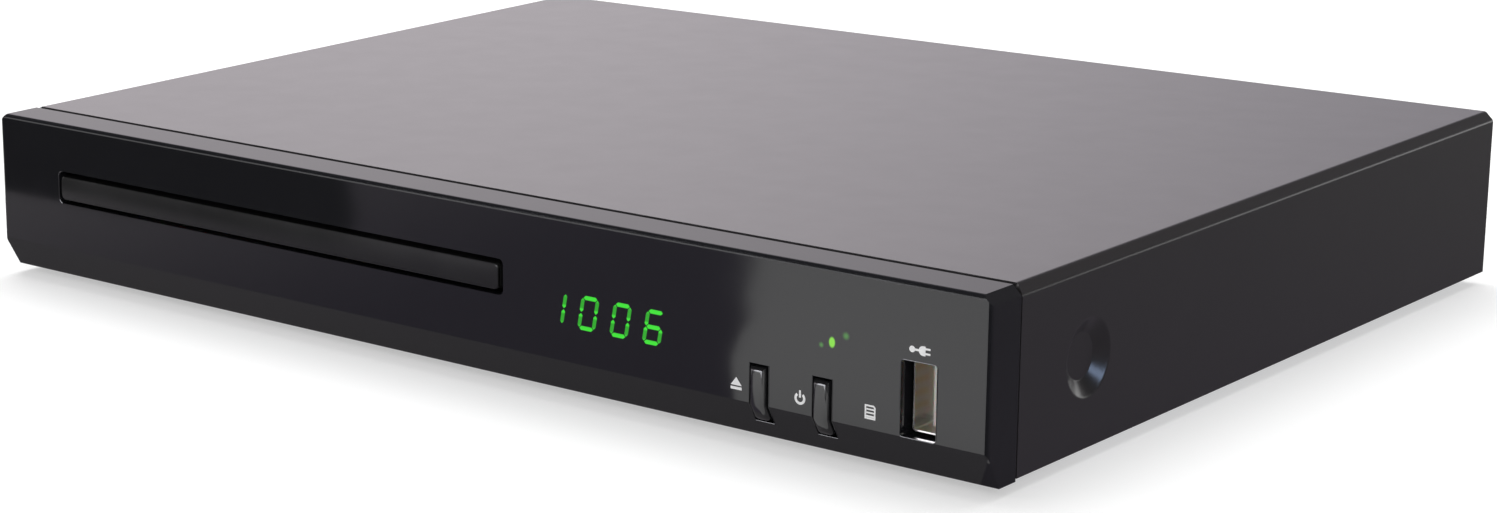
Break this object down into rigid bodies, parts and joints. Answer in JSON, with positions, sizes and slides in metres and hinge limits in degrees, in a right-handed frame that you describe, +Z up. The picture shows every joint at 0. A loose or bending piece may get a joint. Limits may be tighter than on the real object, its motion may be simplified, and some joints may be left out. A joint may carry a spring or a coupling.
{
  "type": "disc player with tray",
  "caption": "Low black disc player with a motorised sliding tray, lit digit display, two front buttons, a status light, a front data socket and rear sockets.",
  "frame": {"origin": "middle of the bounding box at the resting plane under the feet", "axes": "+X to the right seen from the front, -Y towards the user, +Z up"},
  "size_m": [0.26, 0.209, 0.038],
  "materials": {
    "panel_gloss": "glossy black moulded plastic",
    "display_tint": "glossy tinted plastic",
    "display_glow": "lit green bars",
    "led_glow": "lit yellow-green lens",
    "cap_plastic": "semi-gloss black cap",
    "black_moulding": "matt black moulding",
    "tray_plastic": "satin black moulding",
    "cover_paint": "satin black powder paint on steel",
    "zinc_steel": "zinc plated sheet",
    "socket_metal": "bright nickel plating",
    "gold_contact": "gold plated contacts",
    "tongue_plastic": "ivory moulding",
    "board_green": "solder mask on glass laminate",
    "board_tan": "bare phenolic laminate",
    "chip_epoxy": "moulded epoxy",
    "heat_sink_aluminium": "bare extruded fins",
    "loader_plastic": "dark grey moulding",
    "gear_plastic": "natural acetal",
    "motor_can": "plated motor can",
    "rod_steel": "ground steel",
    "rubber_black": "matt rubber",
    "bush_rubber": "soft brown rubber",
    "pickup_alloy": "cast alloy",
    "lens_plastic": "lens in its holder",
    "pulley_brass": "turned brass",
    "magnet_steel": "nickel plated magnet",
    "transformer_tape": "yellow winding tape",
    "capacitor_sleeve": "dark blue sleeve",
    "filter_yellow": "yellow film capacitor",
    "insert_plastic": "coloured jack insert",
    "ribbon_film": "flat cable film",
    "screw_black": "black zinc"
  },
  "bodies": {
    "case": {"front_panel": "panel_gloss", "display_window": "display_tint", "display_digits": "display_glow", "display_module": "black_moulding", "led_lens": "led_glow", "status_led": "led_glow", "ir_receiver": "lens_plastic", "eject_switch": "chip_epoxy", "power_switch": "chip_epoxy", "front_board": "board_green", "usb_shell": "socket_metal", "usb_tongue": "tongue_plastic", "usb_contacts": "gold_contact", "top_cover": "cover_paint", "chassis_base": "zinc_steel", "rear_panel": "cover_paint", "feet": "rubber_black", "cover_screws": "screw_black", "loader_rail_left": "loader_plastic", "loader_rail_right": "loader_plastic", "loader_deck": "loader_plastic", "loader_rear_bar": "loader_plastic", "clamp_bridge": "zinc_steel", "pivot_bushes": "bush_rubber", "loading_motor": "motor_can", "drive_belt": "rubber_black", "main_board": "board_green", "decoder_chip": "chip_epoxy", "heat_sink": "heat_sink_aluminium", "board_chips": "chip_epoxy", "board_capacitors": "capacitor_sleeve", "power_board": "board_tan", "transformer": "transformer_tape", "supply_capacitors": "capacitor_sleeve", "mains_filter": "filter_yellow", "mains_inlet": "black_moulding", "phono_jacks": "black_moulding", "phono_inserts": "insert_plastic", "video_socket": "socket_metal", "front_ribbon": "ribbon_film", "board_screws": "rod_steel"},
    "tray": {"disc_tray": "tray_plastic"},
    "eject": {"eject_button": "cap_plastic"},
    "power": {"power_button": "cap_plastic"},
    "traverse": {"traverse_plate": "zinc_steel", "spindle_motor": "motor_can", "guide_rods": "rod_steel", "sled_motor": "motor_can"},
    "turntable": {"turntable": "black_moulding"},
    "pickup": {"pickup_body": "pickup_alloy", "pickup_lens": "lens_plastic"},
    "sled_gear": {"sled_gear": "gear_plastic"},
    "sled_pinion": {"sled_pinion": "gear_plastic"},
    "clamp": {"clamper": "gear_plastic", "clamp_magnet": "magnet_steel"},
    "tray_gear": {"tray_gear": "gear_plastic"},
    "pulley_gear": {"pulley_gear": "gear_plastic"},
    "motor_pulley": {"motor_pulley": "pulley_brass"},
    "cam": {"cam_slider": "gear_plastic"}
  },
  "joints": [
    {"name": "tray_slide", "type": "slide", "parent": "case", "child": "tray", "axis": [0, -1, 0], "range_m": [0, 0.13]},
    {"name": "eject_press", "type": "slide", "parent": "case", "child": "eject", "axis": [0, 1, 0], "range_m": [0, 0.0006], "stiffness_N_per_m": 400},
    {"name": "power_press", "type": "slide", "parent": "case", "child": "power", "axis": [0, 1, 0], "range_m": [0, 0.0006], "stiffness_N_per_m": 400},
    {"name": "traverse_tilt", "type": "hinge", "parent": "case", "child": "traverse", "pos_m": [-0.0455, 0.0445, 0.012], "axis": [1, 0, 0], "range_deg": [0, 3.4]},
    {"name": "turntable_spin", "type": "hinge", "parent": "traverse", "child": "turntable", "pos_m": [-0.0455, -0.0305, 0.02], "axis": [0, 0, 1], "continuous": true},
    {"name": "sled_slide", "type": "slide", "parent": "traverse", "child": "pickup", "axis": [0, 1, 0], "range_m": [0, 0.035]},
    {"name": "sled_gear_spin", "type": "hinge", "parent": "traverse", "child": "sled_gear", "pos_m": [-0.0121, 0.0145, 0.0173], "axis": [0, 0, 1], "range_deg": [-251, 0]},
    {"name": "sled_pinion_spin", "type": "hinge", "parent": "traverse", "child": "sled_pinion", "pos_m": [-0.00407, 0.00303, 0.0173], "axis": [0, 0, 1], "range_deg": [0, 335]},
    {"name": "clamper_spin", "type": "hinge", "parent": "case", "child": "clamp", "pos_m": [-0.0455, -0.0305, 0.03], "axis": [0, 0, 1], "continuous": true},
    {"name": "tray_gear_spin", "type": "hinge", "parent": "case", "child": "tray_gear", "pos_m": [-0.093, -0.079, 0.02], "axis": [0, 0, 1], "range_deg": [0, 621]},
    {"name": "pulley_gear_spin", "type": "hinge", "parent": "case", "child": "pulley_gear", "pos_m": [-0.075, -0.079, 0.02], "axis": [0, 0, 1], "range_deg": [-1242, 0]},
    {"name": "motor_pulley_spin", "type": "hinge", "parent": "case", "child": "motor_pulley", "pos_m": [-0.041, -0.079, 0.017], "axis": [0, 0, 1], "range_deg": [-3449, 0]},
    {"name": "cam_slide", "type": "slide", "parent": "case", "child": "cam", "axis": [1, 0, 0], "range_m": [0, 0.0181]}
  ],
  "couplings": [
    {"joint": "clamper_spin", "follows": "turntable_spin", "ratio": 1},
    {"joint": "sled_gear_spin", "follows": "sled_slide", "rad_per_m": -125},
    {"joint": "sled_pinion_spin", "follows": "sled_slide", "rad_per_m": 166.67},
    {"joint": "tray_gear_spin", "follows": "tray_slide", "rad_per_m": 83.333},
    {"joint": "pulley_gear_spin", "follows": "tray_slide", "rad_per_m": -166.67},
    {"joint": "motor_pulley_spin", "follows": "tray_slide", "rad_per_m": -462.96},
    {"joint": "cam_slide", "follows": "traverse_tilt", "m_per_rad": 0.30333}
  ]
}
